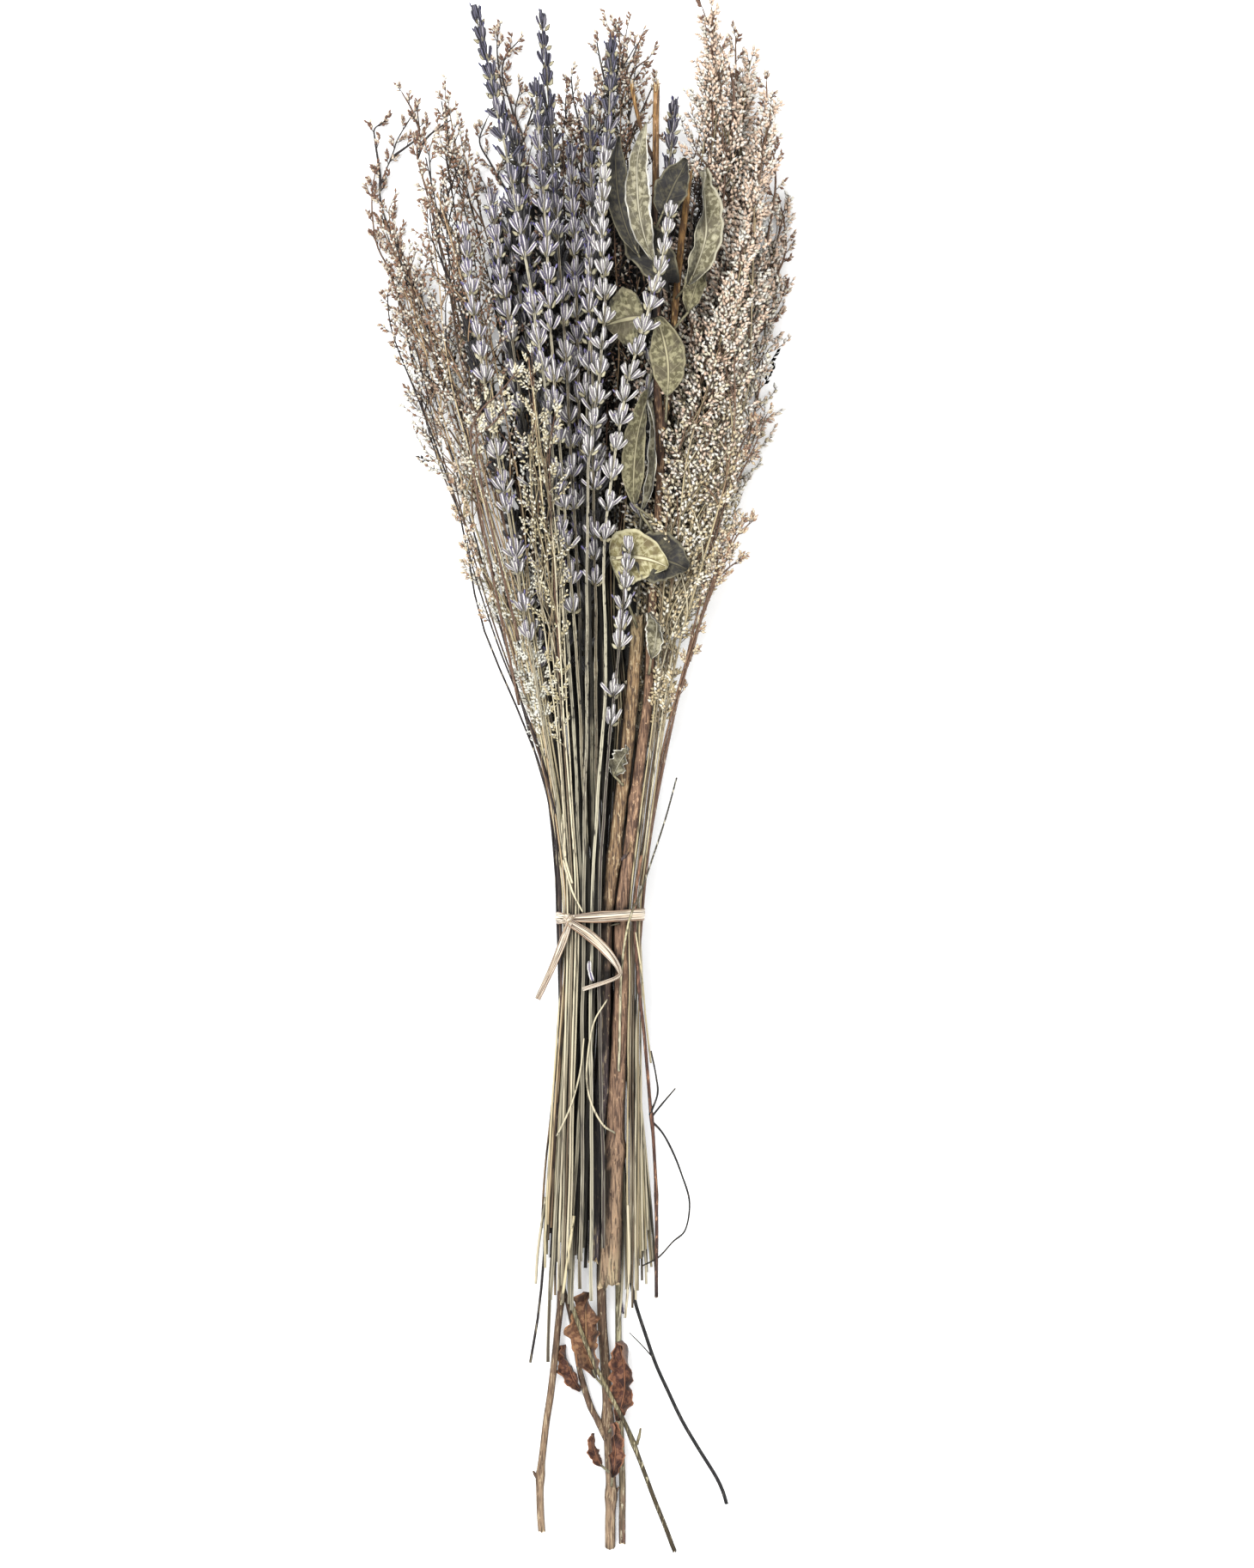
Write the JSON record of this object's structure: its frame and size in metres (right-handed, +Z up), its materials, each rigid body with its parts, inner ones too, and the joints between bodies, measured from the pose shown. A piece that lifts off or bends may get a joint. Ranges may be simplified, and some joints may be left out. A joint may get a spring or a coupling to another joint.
{
  "type": "bunch of dried flowers",
  "caption": "Tied bunch of dried lavender, sea lavender and leafy twigs that lies on a surface as a decoration.",
  "frame": {"origin": "centre of the bunch's footprint, on the surface that it lies on", "axes": "+Y from the cut stem ends to the flower heads, +X to the right seen from above, +Z up from the surface"},
  "size_m": [0.1693, 0.598, 0.0749],
  "materials": {
    "lavender": "matte",
    "lavender_pale": "matte",
    "sea_lavender": "matte",
    "sea_lavender_pale": "matte",
    "bark": "matte",
    "thin_stem": "satin",
    "dark_stem": "matte",
    "leaf": "matte",
    "leaf_dark": "matte",
    "dry_leaf": "matte",
    "raffia": "satin"
  },
  "bodies": {
    "root": {"branch_lower": "bark", "branch_main": "bark", "branch_split": "bark", "dry_leaf_01": "dry_leaf", "dry_leaf_02": "dry_leaf", "dry_leaf_03": "dry_leaf", "dry_leaf_04": "dry_leaf", "lavender_sprig_01": "lavender", "lavender_sprig_02": "lavender", "lavender_sprig_03": "lavender", "lavender_sprig_04": "lavender", "lavender_sprig_05": "lavender", "lavender_sprig_06": "lavender", "lavender_sprig_07": "lavender", "lavender_sprig_08": "lavender", "lavender_sprig_09": "lavender", "lavender_sprig_10": "lavender", "lavender_sprig_11": "lavender", "lavender_sprig_12": "lavender", "lavender_sprig_13": "lavender", "lavender_sprig_14": "lavender", "lavender_sprig_15": "lavender", "lavender_sprig_16": "lavender", "lavender_sprig_17": "lavender", "lavender_sprig_18": "lavender_pale", "lavender_sprig_19": "lavender_pale", "lavender_sprig_20": "lavender_pale", "leaf_01": "leaf", "leaf_02": "leaf_dark", "leaf_03": "leaf_dark", "leaf_04": "leaf", "leaf_05": "leaf", "leaf_06": "leaf", "leaf_07": "leaf", "leaf_08": "leaf", "leaf_09": "leaf", "leaf_10": "leaf", "leaf_11": "leaf_dark", "leaf_12": "leaf", "leaf_13": "leaf", "raffia_tie": "raffia", "sea_lavender_01": "sea_lavender", "sea_lavender_02": "sea_lavender", "sea_lavender_03": "sea_lavender", "sea_lavender_04": "sea_lavender", "sea_lavender_05": "sea_lavender", "sea_lavender_06": "sea_lavender", "sea_lavender_07": "sea_lavender", "sea_lavender_08": "sea_lavender", "sea_lavender_09": "sea_lavender", "sea_lavender_10": "sea_lavender", "sea_lavender_11": "sea_lavender", "sea_lavender_12": "sea_lavender", "sea_lavender_13": "sea_lavender", "sea_lavender_14": "sea_lavender_pale", "stem_diagonal": "thin_stem", "stem_straight": "thin_stem", "stem_wiry": "dark_stem", "twig_left": "bark", "twig_right": "bark"}
  },
  "joints": []
}
